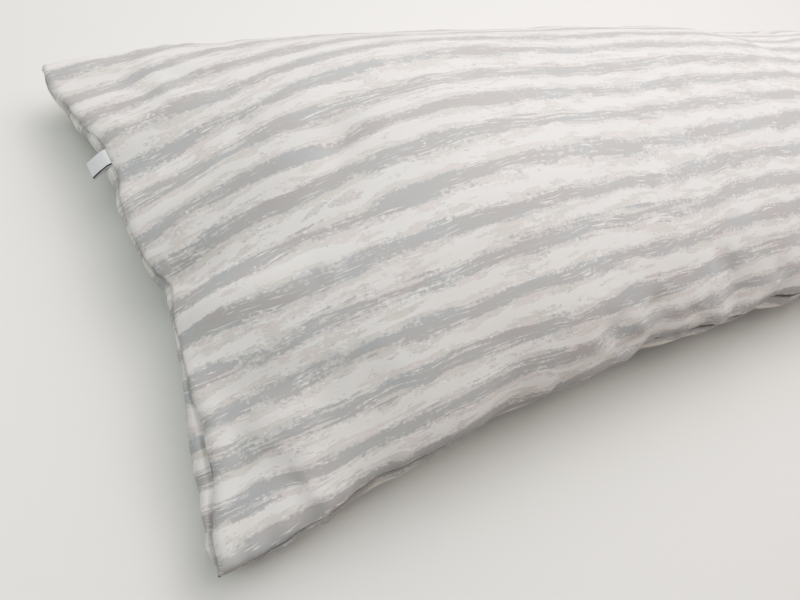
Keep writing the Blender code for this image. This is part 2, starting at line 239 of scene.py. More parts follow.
# The lights, which all point at one place, and the faint light from all round
Lamp = namedtuple("Lamp", "name place size watts colour")
LAMPS = [
    Lamp("key", (1.3, 1.4, 2.1), 1.8, 48.0, (1.0, 0.91, 0.89)),
    Lamp("over", (0.2, 0.5, 1.3), 1.8, 31.5, (1.0, 0.915, 0.89)),
    Lamp("side", (-1.5, 0.3, 2.0), 1.8, 27.0, (0.93, 0.99, 0.975)),
    Lamp("low", (0.3, -1.9, 0.40), 0.5, 3.2, (1.0, 0.72, 0.66)),
]
LIT_PLACE = Vector((0.0, 0.0, 0.05))
SURROUND_COLOUR = (1.0, 0.85, 0.82, 1.0)
SURROUND_STRENGTH = 0.06

# The photo's camera
CAMERA_PLACE = Vector((-0.7636, -0.1855, 0.4129))
CAMERA_RIGHT = Vector((0.8343, -0.4068, 0.3722))
CAMERA_UP = Vector((0.2330, 0.8719, 0.4307))
CAMERA_BACK = Vector((-0.4997, -0.2726, 0.8222))
NEAREST_SEEN = 0.01
SENSOR_WIDTH = 36.0
FOCAL_PIXELS = 618.0
PICTURE_WIDTH = 800.0

# The picture's tones: light as it falls, and as it is shown
BRIGHTEST = 1.6
SOFTENED = ((0.2, 0.2), (0.4, 0.4), (0.75, 0.64), (1.0, 0.755), (1.3, 0.855), (BRIGHTEST, 0.93))

# Where the seam is gathered: place along its edge, pull inwards, half width, reach of the trough inwards
Pucker = namedtuple("Pucker", "along pull half_width reach")
NEAR_PUCKERS = [
    Pucker(0.105, 0.0015, 0.016, 0.040),
    Pucker(0.205, 0.0020, 0.018, 0.045),
    Pucker(0.304, 0.0015, 0.016, 0.035),
    Pucker(0.345, 0.0030, 0.015, 0.035),
    Pucker(0.456, 0.0045, 0.016, 0.035),
    Pucker(0.600, 0.0040, 0.018, 0.045),
    Pucker(0.728, 0.0040, 0.018, 0.060),
    Pucker(0.871, 0.0050, 0.020, 0.055),
    Pucker(1.004, 0.0035, 0.018, 0.050),
    Pucker(1.142, 0.0050, 0.018, 0.060),
    Pucker(1.262, 0.0030, 0.016, 0.045),
    Pucker(1.358, 0.0025, 0.015, 0.040),
]
FAR_PUCKERS = [
    Pucker(0.120, 0.0015, 0.016, 0.035),
    Pucker(0.238, 0.0015, 0.018, 0.035),
    Pucker(0.371, 0.0015, 0.018, 0.035),
    Pucker(0.514, 0.0025, 0.020, 0.035),
    Pucker(0.668, 0.0035, 0.018, 0.045),
    Pucker(0.806, 0.0025, 0.018, 0.040),
    Pucker(0.930, 0.0045, 0.018, 0.050),
    Pucker(1.072, 0.0040, 0.020, 0.050),
    Pucker(1.205, 0.0045, 0.018, 0.050),
    Pucker(1.334, 0.0025, 0.015, 0.040),
]
LABEL_END_PUCKERS = [
    Pucker(0.098, 0.0012, 0.012, 0.040),
    Pucker(0.181, 0.0060, 0.012, 0.055),
    Pucker(0.266, 0.0025, 0.012, 0.045),
]
FAR_END_PUCKERS = [
    Pucker(0.085, 0.0030, 0.012, 0.040),
    Pucker(0.163, 0.0050, 0.013, 0.050),
    Pucker(0.241, 0.0045, 0.012, 0.050),
    Pucker(0.318, 0.0030, 0.012, 0.040),
]

# The run of each seam: place along it, offset outwards, lift, and bulge of the lower panel under it
SeamPoint = namedtuple("SeamPoint", "along outwards lift bulge")
LABEL_END_SEAM = [
    SeamPoint(0.000, -0.002, 0.000, 0.000),
    SeamPoint(0.022, 0.000, 0.001, 0.008),
    SeamPoint(0.055, -0.004, 0.003, 0.014),
    SeamPoint(0.080, -0.002, 0.005, 0.014),
    SeamPoint(0.106, 0.002, 0.004, 0.007),
    SeamPoint(0.155, 0.001, -0.005, 0.003),
    SeamPoint(0.181, 0.003, -0.002, 0.005),
    SeamPoint(0.222, 0.007, -0.002, 0.002),
    SeamPoint(0.256, 0.006, 0.000, 0.004),
    SeamPoint(0.281, -0.001, 0.002, 0.006),
    SeamPoint(0.300, -0.002, 0.005, 0.004),
    SeamPoint(0.335, 0.002, 0.003, 0.004),
    SeamPoint(0.372, 0.005, 0.001, 0.001),
    SeamPoint(0.400, 0.001, 0.002, 0.000),
]
FAR_END_SEAM = [
    SeamPoint(0.000, 0.000, 0.000, 0.000),
    SeamPoint(0.060, 0.002, 0.002, 0.004),
    SeamPoint(0.135, 0.004, -0.002, 0.003),
    SeamPoint(0.205, 0.003, 0.003, 0.006),
    SeamPoint(0.285, 0.005, -0.003, 0.003),
    SeamPoint(0.345, 0.002, 0.002, 0.004),
    SeamPoint(0.400, 0.000, 0.000, 0.000),
]
NEAR_SEAM = [
    SeamPoint(0.000, 0.003, 0.000, 0.000),
    SeamPoint(0.030, 0.001, 0.001, 0.007),
    SeamPoint(0.060, -0.001, 0.002, 0.006),
    SeamPoint(0.100, -0.004, 0.002, 0.004),
    SeamPoint(0.140, -0.003, 0.003, 0.004),
    SeamPoint(0.240, -0.003, -0.002, 0.002),
    SeamPoint(0.305, 0.000, -0.003, 0.002),
    SeamPoint(0.360, -0.007, 0.002, 0.001),
    SeamPoint(0.405, -0.005, 0.002, 0.005),
    SeamPoint(0.456, 0.003, -0.002, 0.002),
    SeamPoint(0.515, -0.004, 0.003, 0.004),
    SeamPoint(0.575, 0.002, -0.003, 0.008),
    SeamPoint(0.690, 0.002, 0.002, 0.006),
    SeamPoint(0.800, -0.003, -0.003, 0.003),
    SeamPoint(0.935, 0.003, 0.003, 0.005),
    SeamPoint(1.070, -0.002, -0.002, 0.003),
    SeamPoint(1.200, 0.002, 0.002, 0.004),
    SeamPoint(1.330, -0.002, 0.000, 0.003),
    SeamPoint(1.450, 0.000, 0.000, 0.000),
]
FAR_SEAM = [
    SeamPoint(0.000, 0.000, 0.000, 0.000),
    SeamPoint(0.090, 0.000, 0.001, 0.003),
    SeamPoint(0.180, 0.001, -0.001, 0.004),
    SeamPoint(0.305, 0.002, 0.000, 0.005),
    SeamPoint(0.440, 0.001, -0.002, 0.003),
    SeamPoint(0.590, 0.003, 0.000, 0.006),
    SeamPoint(0.735, 0.000, -0.005, 0.003),
    SeamPoint(0.865, 0.001, -0.008, 0.005),
    SeamPoint(1.000, -0.001, -0.010, 0.003),
    SeamPoint(1.140, 0.003, -0.003, 0.005),
    SeamPoint(1.290, 0.001, -0.001, 0.003),
    SeamPoint(1.450, 0.000, 0.000, 0.000),
]

# The four edges of the panels: run of the seam, its puckers, and the axis and direction that lead outwards
Edge = namedtuple("Edge", "seam puckers axis sign")
EDGES = (
    Edge(LABEL_END_SEAM, LABEL_END_PUCKERS, 0, -1.0),
    Edge(FAR_END_SEAM, FAR_END_PUCKERS, 0, 1.0),
    Edge(NEAR_SEAM, NEAR_PUCKERS, 1, -1.0),
    Edge(FAR_SEAM, FAR_PUCKERS, 1, 1.0),
)

# Soft troughs and ridges on the upper panel: centre u and v, heading from +X, half length, half width, rise
Fold = namedtuple("Fold", "u v heading_deg half_length half_width rise")
FOLDS = [
    Fold(0.300, 0.345, 0.0, 0.160, 0.040, -0.0045),
    Fold(0.900, 0.335, 0.0, 0.270, 0.055, -0.0130),
    Fold(0.134, 0.216, 34.0, 0.030, 0.013, -0.0030),
    Fold(0.138, 0.223, 34.0, 0.016, 0.007, -0.0040),
    Fold(0.087, 0.257, 30.0, 0.014, 0.007, -0.0030),
    Fold(0.106, 0.240, 28.0, 0.045, 0.016, 0.0030),
    Fold(0.062, 0.270, 24.0, 0.050, 0.014, -0.0035),
    Fold(0.052, 0.345, -30.0, 0.050, 0.014, -0.0030),
    Fold(0.056, 0.152, -4.0, 0.050, 0.014, 0.0035),
    Fold(0.044, 0.095, -12.0, 0.045, 0.014, -0.0040),
    Fold(0.062, 0.048, 38.0, 0.050, 0.014, -0.0030),
    Fold(0.022, 0.070, -30.0, 0.016, 0.020, -0.0050),
    Fold(0.225, 0.150, 12.0, 0.110, 0.026, 0.0025),
    Fold(0.330, 0.240, -8.0, 0.120, 0.030, -0.0025),
    Fold(0.338, 0.044, 20.0, 0.012, 0.009, -0.0038),
    Fold(0.317, 0.018, 10.0, 0.010, 0.008, -0.0042),
    Fold(0.296, 0.042, 10.0, 0.012, 0.009, -0.0028),
    Fold(0.478, 0.042, 54.0, 0.030, 0.014, -0.0015),
    Fold(0.507, 0.038, 30.0, 0.012, 0.010, -0.0030),
    Fold(0.520, 0.130, 10.0, 0.100, 0.026, -0.0025),
    Fold(0.728, 0.205, 92.0, 0.160, 0.075, -0.0090),
    Fold(0.690, 0.268, -44.0, 0.034, 0.014, -0.0030),
    Fold(0.930, 0.120, -12.0, 0.110, 0.028, 0.0025),
    Fold(1.080, 0.260, 9.0, 0.120, 0.030, -0.0030),
    Fold(1.220, 0.150, -7.0, 0.100, 0.026, -0.0025),
    Fold(1.385, 0.100, 158.0, 0.045, 0.014, -0.0035),
    Fold(1.392, 0.205, 4.0, 0.045, 0.014, -0.0035),
    Fold(1.388, 0.300, 22.0, 0.045, 0.014, -0.0035),
]


def crowded(count, crowding):
    """count + 1 shares from 0 to 1, closer together towards both ends."""
    even = np.linspace(0.0, 1.0, count + 1)
    return even - crowding / (2.0 * math.pi) * np.sin(2.0 * math.pi * even)


def bump(distance, half_width):
    """1 at no distance, falling smoothly away over half_width."""
    return np.exp(-((distance / half_width) ** 2))


def hump(distance, reach):
    """0 at no distance, 1 at reach, and falling away beyond it."""
    share = distance / reach
    return share * np.exp(1.0 - share)


def arch(v):
    """0 at both side seams and 1 half way across."""
    across = v / CASE_WIDTH
    return np.clip(4.0 * across * (1.0 - across), 0.0, 1.0)


def from_edge(u, v):
    """Distance on the flat cloth to the nearest seam."""
    return np.minimum(np.minimum(u, CASE_LENGTH - u), np.minimum(v, CASE_WIDTH - v))


def smooth_table(rows, along):
    """Each column of a table after the first, run smoothly through its rows, at the places along."""
    knots = np.array([row.along for row in rows])
    place = np.clip(np.searchsorted(knots, along, side="right") - 1, 0, len(knots) - 2)
    share = (along - knots[place]) / (knots[place + 1] - knots[place])
    ease = share * share * (3.0 - 2.0 * share)
    columns = np.array([row[1:] for row in rows])
    blended = columns[place] * (1.0 - ease)[..., None] + columns[place + 1] * ease[..., None]
    return np.moveaxis(blended, -1, 0)


def fullness(u):
    """Share of the full filling at u: none at the end seams, all of it from END_RAMP inwards."""
    share = np.clip(np.minimum(u, CASE_LENGTH - u) / END_RAMP, 0.0, 1.0)
    return np.sin(0.5 * math.pi * share)


def seam_level(u, v):
    """Height of the seam, carried inwards over the panel."""
    side = SEAM_HEIGHT_NEAR + (SEAM_HEIGHT_FAR - SEAM_HEIGHT_NEAR) * v / CASE_WIDTH
    filled = fullness(u)
    at_end = (SEAM_HEIGHT_END - SEAM_HEIGHT_CORNER) * arch(v) * (1.0 - filled)
    return SEAM_HEIGHT_CORNER + (side - SEAM_HEIGHT_CORNER) * filled + at_end


def upper_height(u, v):
    """Height of the upper panel before its folds."""
    filled = fullness(u)
    power = CROWN_POWER_END + (CROWN_POWER_MIDDLE - CROWN_POWER_END) * filled
    taper = 1.0 + CROWN_TAPER * (0.5 - u / CASE_LENGTH)
    return seam_level(u, v) + CROWN_RISE * taper * filled * arch(v) ** power


def underside_drop(distance, reach):
    """Share of the way down from the seam to the flat, at a distance along the lower panel."""
    share = np.clip(distance / reach, 0.0, 1.0)
    turned = np.cos(UNDERSIDE_TURN * (1.0 - share)) - math.cos(UNDERSIDE_TURN)
    return turned / (1.0 - math.cos(UNDERSIDE_TURN))


def lower_height(u, v):
    """Height of the lower panel, which is exactly 0 where it lies flat."""
    level = seam_level(u, v)
    from_end = underside_drop(np.minimum(u, CASE_LENGTH - u), UNDERSIDE_SPREAD * level)
    from_side = underside_drop(np.minimum(v, CASE_WIDTH - v), UNDERSIDE_SPREAD * level)
    return level * (1.0 - from_end * from_side)


def run_out(height, places, axis):
    """Plan distance along an axis that cloth of this height covers, measured from its middle."""
    slope = np.gradient(height, places, axis=axis)
    covered = np.sqrt(1.0 - np.clip(np.abs(slope), 0.0, STEEPEST_SLOPE) ** 2)
    covered = np.moveaxis(covered, axis, 0)
    steps = (covered[1:] + covered[:-1]) / 2.0 * np.diff(places)[:, None]
    plan = np.concatenate([np.zeros((1, covered.shape[1])), np.cumsum(steps, axis=0)])
    middle = np.array([np.interp(places[-1] / 2.0, places, column) for column in plan.T])
    return np.moveaxis(plan - middle, 0, axis)


def fit_between(plan, target, axis):
    """Stretches plan along an axis, so that its two edges meet those of target."""
    low_plan, high_plan = plan.take([0], axis), plan.take([-1], axis)
    low, high = target.take([0], axis), target.take([-1], axis)
    return low + (plan - low_plan) * (high - low) / (high_plan - low_plan)


def edge_places(u, v):
    """For each of EDGES, the places along it and the distances inwards from it."""
    return (v, u), (v, CASE_LENGTH - u), (u, v), (u, CASE_WIDTH - v)


def seam_displacement(u, v):
    """What the gathered seam does near each edge: offsets along X, Y and Z, and a bulge along X and Y."""
    shift = np.zeros(u.shape + (3,))
    swell = np.zeros(u.shape + (2,))
    for edge, (along, inwards) in zip(EDGES, edge_places(u, v)):
        outwards, lift, bulge = smooth_table(edge.seam, along)
        gathered = sum(p.pull * bump(along - p.along, p.half_width) for p in edge.puckers)
        fade = bump(inwards, SEAM_FEATURE_REACH)
        shift[..., edge.axis] += edge.sign * (outwards - gathered) * fade
        shift[..., 2] += lift * fade
        swell[..., edge.axis] += edge.sign * bulge * hump(inwards, BULGE_REACH)
    return shift, swell


def trough_depth(u, v):
    """Depth of the troughs that run into the panel from the puckers of the seam."""
    depth = np.zeros(u.shape)
    for edge, (along, inwards) in zip(EDGES, edge_places(u, v)):
        for p in edge.puckers:
            fanned = p.half_width * (1.0 + inwards / p.reach)
            depth += TROUGH_SHARE * p.pull * bump(along - p.along, fanned) * hump(inwards, p.reach)
    return depth


def fold_rise(u, v):
    """Height that the soft troughs and ridges add to the upper panel."""
    rise = np.zeros(u.shape)
    for fold in FOLDS:
        heading = math.radians(fold.heading_deg)
        ahead = (u - fold.u) * math.cos(heading) + (v - fold.v) * math.sin(heading)
        aside = (v - fold.v) * math.cos(heading) - (u - fold.u) * math.sin(heading)
        rise += fold.rise * bump(ahead, fold.half_length) * bump(aside, fold.half_width)
    return rise * (1.0 - bump(from_edge(u, v), GROOVE_SWELL_REACH))


def outward_normals(points):
    """Unit normals of a grid of points, on the side where u, v and the normal are right-handed."""
    along_u = np.gradient(points, axis=0)
    along_v = np.gradient(points, axis=1)
    normal = np.cross(along_u, along_v)
    return normal / np.maximum(np.linalg.norm(normal, axis=2, keepdims=True), TINY)


def round_corners(points, u, v):
    """Draws the four corner tips in a little, as the turned-in allowance does."""
    to_corner = np.minimum(u, CASE_LENGTH - u) + np.minimum(v, CASE_WIDTH - v)
    pull = CORNER_ROUNDING * np.exp(-to_corner / CORNER_REACH)
    points[..., 0] -= pull * np.sign(u - CASE_LENGTH / 2.0)
    points[..., 1] -= pull * np.sign(v - CASE_WIDTH / 2.0)


def panel_points(long_places, across_places):
    """The two panels as grids of points, upper and lower, with the seam on the edge of both."""
    u, v = np.meshgrid(long_places, across_places, indexing="ij")
    heights = {"upper": upper_height(u, v), "lower": lower_height(u, v)}
    gather = CORNER_GATHER + (1.0 - CORNER_GATHER) * fullness(u)
    plan_x = run_out(heights["upper"], long_places, 0)
    plan_y = run_out(heights["upper"], across_places, 1) * gather
    shift, swell = seam_displacement(u, v)
    groove_side = GROOVE_SWELL_TOP * hump(from_edge(u, v), GROOVE_SWELL_REACH) * fullness(u)

    upper = np.stack([plan_x, plan_y, heights["upper"]], axis=-1) + shift
    upper_offset = fold_rise(u, v) - trough_depth(u, v) + groove_side
    upper += outward_normals(upper) * upper_offset[..., None]

    lower_x = fit_between(run_out(heights["lower"], long_places, 0), plan_x, 0)
    lower_y = fit_between(run_out(heights["lower"], across_places, 1), plan_y, 1)
    lower = np.stack([lower_x, lower_y, heights["lower"]], axis=-1)
    lifted = np.clip(heights["lower"] / SEAM_HEIGHT_CORNER, 0.0, 1.0)
    lower += shift * lifted[..., None]
    lower[..., :2] += swell * lifted[..., None]

    for points in (upper, lower):
        round_corners(points, u, v)
    lower[0], lower[-1] = upper[0], upper[-1]
    lower[:, 0], lower[:, -1] = upper[:, 0], upper[:, -1]
    return upper, lower


def centred(upper, lower):
    """Both grids, moved so that the middle of the filled form is at the origin."""
    return upper - FORM_MIDDLE, lower - FORM_MIDDLE


def grid_faces(numbers):
    """Four-sided faces over a grid of point numbers, right-handed in its two directions."""
    ring = (numbers[:-1, :-1], numbers[1:, :-1], numbers[1:, 1:], numbers[:-1, 1:])
    return np.stack(ring, axis=-1).reshape(-1, 4)


def panel_numbers(rows, columns):
    """Point numbers of the upper and the lower panel's grids, which share the seam."""
    upper = np.arange(rows * columns).reshape(rows, columns)
    lower = upper.copy()
    inner = np.arange((rows - 2) * (columns - 2)).reshape(rows - 2, columns - 2)
    lower[1:-1, 1:-1] = rows * columns + inner
    return upper, lower


def case_mesh(upper, lower):
    """One closed mesh of both panels."""
    upper_numbers, lower_numbers = panel_numbers(*upper.shape[:2])
    points = np.concatenate([upper.reshape(-1, 3), lower[1:-1, 1:-1].reshape(-1, 3)])
    faces = np.concatenate([grid_faces(upper_numbers), grid_faces(lower_numbers)[:, ::-1]])
    mesh = bpy.data.meshes.new("striped_case")
    mesh.from_pydata(points.tolist(), [], faces.tolist())
    mesh.shade_smooth()
    return mesh


def map_cloth(mesh, corner_places):
    """Gives a mesh the UV map of its flat cloth, in millimetres, from the place of each face corner."""
    layer = mesh.uv_layers.new(name="cloth")
    layer.data.foreach_set("uv", (corner_places * MM).astype(np.float32).ravel())


def case_corner_places(long_places, across_places):
    """Where each face corner of the case lies on the printed cloth that its panel was cut from."""
    u, v = np.meshgrid(long_places, across_places, indexing="ij")
    places = np.stack([u, v], axis=-1).reshape(-1, 2)
    faces = grid_faces(np.arange(len(places)).reshape(u.shape))
    cut = np.array(LOWER_PANEL_CUT) / MM
    return np.concatenate([places[faces], places[faces[:, ::-1]] + cut])


def settle(upper, lower):
    """Lets the slack cloth settle over its filling, and returns how each point of both panels moved."""
    mesh = case_mesh(upper, lower)
    trial = bpy.data.objects.new("settling", mesh)
    bpy.context.scene.collection.objects.link(trial)
    upper_numbers, lower_numbers = panel_numbers(*upper.shape[:2])
    resting = trial.vertex_groups.new(name="resting")
    resting.add(lower_numbers[lower[..., 2] == 0.0].tolist(), 1.0, "REPLACE")
    cloth = trial.modifiers.new("cloth", "CLOTH")
    settings = cloth.settings
    settings.mass = CLOTH_MASS
    settings.tension_stiffness = CLOTH_STIFFNESS
    settings.compression_stiffness = CLOTH_STIFFNESS
    settings.shear_stiffness = CLOTH_SHEAR
    settings.bending_stiffness = CLOTH_BENDING
    settings.shrink_min = -SPARE_CLOTH
    settings.use_pressure = True
    settings.uniform_pressure_force = SETTLE_PRESSURE
    settings.effector_weights.gravity = 0.0
    settings.vertex_group_mass = resting.name
    cloth.collision_settings.use_collision = False
    cloth.collision_settings.use_self_collision = False
    start = np.zeros(len(mesh.vertices) * 3, np.float32)
    mesh.vertices.foreach_get("co", start)
    for frame_number in range(1, SETTLE_FRAMES + 1):
        bpy.context.scene.frame_set(frame_number)
    settled = trial.evaluated_get(bpy.context.evaluated_depsgraph_get())
    end = np.zeros(len(mesh.vertices) * 3, np.float32)
    settled.data.vertices.foreach_get("co", end)
    bpy.data.objects.remove(trial)
    bpy.data.meshes.remove(mesh)
    bpy.context.scene.frame_set(1)
    moved = (end - start).astype(float).reshape(-1, 3)
    return moved[upper_numbers], moved[lower_numbers]


def blurred(values, spread):
    """A grid of values, smoothed both ways over about spread cells; its edges keep their values."""
    reach = 3 * spread
    weights = np.exp(-0.5 * (np.arange(-reach, reach + 1) / spread) ** 2)
    weights /= weights.sum()
    for axis in (0, 1):
        line = np.moveaxis(values, axis, 0)
        before = 2.0 * line[:1] - line[reach:0:-1]
        after = 2.0 * line[-1:] - line[-2 : -reach - 2 : -1]
        extended = np.concatenate([before, line, after])
        smooth = sum(weight * extended[k : k + len(line)] for k, weight in enumerate(weights))
        values = np.moveaxis(smooth, 0, axis)
    return values


def limited(moves, most):
    """Movements, none of them longer than most."""
    size = np.maximum(np.linalg.norm(moves, axis=-1, keepdims=True), TINY)
    return moves * most * np.tanh(size / most) / size


def crease(upper, lower, inwards):
    """Adds the small folds of the settled cloth to both panels, and leaves the filled form as it is."""
    beside_seam = 1.0 - CREASE_LOSS_AT_SEAM * bump(inwards, CREASE_EDGE_REACH)
    inside = CREASE_SHARE_INSIDE + (1.0 - CREASE_SHARE_INSIDE) * bump(inwards, CREASE_INNER_REACH)
    share = CREASE_SHARE * (beside_seam * inside)[..., None]
    for panel, moved in zip((upper, lower), settle(upper, lower)):
        folds = limited(moved - blurred(moved, CREASE_SPREAD), CREASE_LIMIT)
        above = np.clip(panel[..., 2:] / CREASE_CLEARANCE, 0.0, 1.0)
        panel += folds * share * above


def halved(values):
    """A grid with a row and a column more between each two of its own, on smooth curves."""
    for axis in (0, 1):
        line = np.moveaxis(values, axis, 0)
        extended = np.concatenate([2.0 * line[:1] - line[1:2], line, 2.0 * line[-1:] - line[-2:-1]])
        between = (9.0 * (extended[1:-2] + extended[2:-1]) - extended[:-3] - extended[3:]) / 16.0
        finer = np.empty((2 * len(line) - 1,) + line.shape[1:])
        finer[0::2] = line
        finer[1::2] = between
        values = np.moveaxis(finer, 0, axis)
    return values


def gathers(along, inwards, seed):
    """Uneven small waves along a seam, which fade inwards, the short ones first."""
    chance = np.random.default_rng(seed)
    total = np.zeros(along.shape)
    for wave in GATHER_WAVES:
        start, swell = chance.uniform(0.0, 2.0 * math.pi, 2)
        strength = 0.5 + 0.5 * np.sin(2.0 * math.pi * along / (GATHER_SWELL * wave) + swell)
        ripple = np.sin(2.0 * math.pi * along / wave + start)
        total += strength * ripple * hump(inwards, GATHER_REACH * wave)
    return total


def finish_seam(upper, lower, u, v):
    """Draws the seam in along its line, gathers the cloth of both panels beside it, and fills the corners."""
    relief = -SEAM_LINE_DEPTH * bump(from_edge(u, v), SEAM_LINE_REACH)
    to_corner = np.hypot(np.minimum(u, CASE_LENGTH - u), np.minimum(v, CASE_WIDTH - v))
    filled = 1.0 - np.exp(-from_edge(u, v) / CORNER_PUFF_RISE)
    relief = relief + CORNER_PUFF * filled * np.exp(-to_corner / CORNER_PUFF_REACH)
    for seed, (along, inwards) in enumerate(edge_places(u, v)):
        relief = relief + GATHER_HEIGHT * gathers(along, inwards, seed)
    upper_normals, lower_normals = outward_normals(upper), outward_normals(lower)
    above = np.clip(lower[..., 2:] / CREASE_CLEARANCE, 0.0, 1.0)
    upper += upper_normals * relief[..., None]
    lower -= lower_normals * relief[..., None] * above
    for edge in (np.s_[0], np.s_[-1], np.s_[:, 0], np.s_[:, -1]):
        upper[edge] = lower[edge] = (upper[edge] + lower[edge]) / 2.0
    np.maximum(lower[..., 2], 0.0, out=lower[..., 2])


class Paint:
    """Adds nodes to one material. Every value may be a number, a tuple or another node's output."""

    def __init__(self, name):
        self.material = bpy.data.materials.new(name)
        self.material.use_nodes = True
        self.tree = self.material.node_tree
        self.shader = self.tree.nodes["Principled BSDF"]

    def node(self, kind, settings, **values):
        made = self.tree.nodes.new(kind)
        for key, value in settings.items():
            setattr(made, key, value)
        for key, value in values.items():
            self.feed(made.inputs[key.replace("_", " ")], value)
        return made

    def feed(self, socket, value):
        if isinstance(value, bpy.types.NodeSocket):
            self.tree.links.new(value, socket)
        else:
            socket.default_value = value

    def math(self, operation, first, second=0.0):
        made = self.tree.nodes.new("ShaderNodeMath")
        made.operation = operation
        for socket, value in zip(made.inputs, (first, second)):
            self.feed(socket, value)
        return made.outputs[0]

    def add(self, *terms):
        total = terms[0]
        for term in terms[1:]:
            total = self.math("ADD", total, term)
        return total

    def times(self, first, second):
        return self.math("MULTIPLY", first, second)

    def minus(self, first, second):
        return self.math("SUBTRACT", first, second)

    def cloth(self):
        """Places along and across the flat cloth, in millimetres."""
        flat = self.node("ShaderNodeUVMap", {"uv_map": "cloth"}).outputs[0]
        parts = self.node("ShaderNodeSeparateXYZ", {}, Vector=flat)
        return parts.outputs["X"], parts.outputs["Y"]

    def noise(self, along, across, name):
        """One of NOISES: smooth noise around 0, mostly within half its strength of it."""
        kind = NOISES[name]
        x = self.times(along, 1.0 / kind.length)
        y = self.times(across, 1.0 / kind.height)
        place = self.node("ShaderNodeCombineXYZ", {}, X=x, Y=y, Z=kind.seed).outputs[0]
        made = self.node(
            "ShaderNodeTexNoise", {}, Vector=place, Scale=1.0, Detail=kind.detail, Roughness=kind.roughness
        )
        return self.times(self.minus(made.outputs["Fac"], 0.5), kind.strength)

    def threads(self, place, pitch):
        """Goes from -1 to 1 and back once in each pitch."""
        return self.math("SINE", self.times(place, 2.0 * math.pi / pitch))

    def middle_out(self, value, half):
        """half at the middle of a strip from 0 to twice half, down to 0 at both of its edges."""
        return self.minus(half, self.math("ABSOLUTE", self.minus(value, half)))

    def random(self, value):
        """A random number from 0 to 1 for each whole value."""
        return self.node("ShaderNodeTexWhiteNoise", {"noise_dimensions": "1D"}, W=value).outputs["Value"]

    def ease(self, value, low, high, start=0.0, end=1.0):
        """Goes smoothly from start to end as value goes from low to high."""
        made = self.tree.nodes.new("ShaderNodeMapRange")
        made.interpolation_type = "SMOOTHSTEP"
        for socket, given in zip(made.inputs, (value, low, high, start, end)):
            self.feed(socket, given)
        return made.outputs[0]

    def mix(self, share, first, second):
        """Blends two colours, whose sockets come after those for numbers and vectors."""
        made = self.node("ShaderNodeMix", {"data_type": "RGBA"})
        self.feed(made.inputs[0], share)
        self.feed(made.inputs[6], first)
        self.feed(made.inputs[7], second)
        return made.outputs[2]

    def finish(self, colour, relief, look):
        """Gives the material its colour, its relief and the way it takes the light."""
        raised = self.node(
            "ShaderNodeBump", {}, Strength=look.strength, Distance=look.height, Height=relief
        )
        inputs = self.shader.inputs
        self.feed(inputs["Base Color"], colour)
        self.feed(inputs["Normal"], raised.outputs[0])
        inputs["Roughness"].default_value = look.roughness
        inputs["Specular IOR Level"].default_value = look.specular


def painted_seam_shade(paint, along, across):
    """Painted shade beside the seam, as the share of the colour that stays: least where a side is tucked
    under, 1 away from it.
    """
    between_panels = (MM * CASE_WIDTH + LOWER_PANEL_CUT[1]) / 2.0
    on_lower = paint.math("GREATER_THAN", across, between_panels)
    own_along = paint.minus(along, paint.times(on_lower, LOWER_PANEL_CUT[0]))
    own_across = paint.minus(across, paint.times(on_lower, LOWER_PANEL_CUT[1]))
    to_end = paint.middle_out(own_along, MM * CASE_LENGTH / 2.0)
    to_side = paint.middle_out(own_across, MM * CASE_WIDTH / 2.0)
    from_pinch = paint.math("ABSOLUTE", paint.minus(own_along, SEAM_PINCH))
    at_side = paint.math("LESS_THAN", to_side, to_end)
    clear_of_pinch = paint.times(paint.ease(from_pinch, *PINCH_CLEARANCE), at_side)
    tucked = paint.times(clear_of_pinch, paint.ease(own_along, *TUCKED))
    faint = paint.ease(paint.noise(along, across, "painted seam shade"), *FAINT_PAINTED_SHADE_RUNS, *FAINT_PAINTED_SHADE)
    darkest = paint.minus(1.0, paint.times(paint.math("MAXIMUM", tucked, faint), PAINTED_SEAM_SHADE))
    return paint.ease(paint.math("MINIMUM", to_end, to_side), *PAINTED_SEAM_SHADE_REACH, darkest, 1.0)


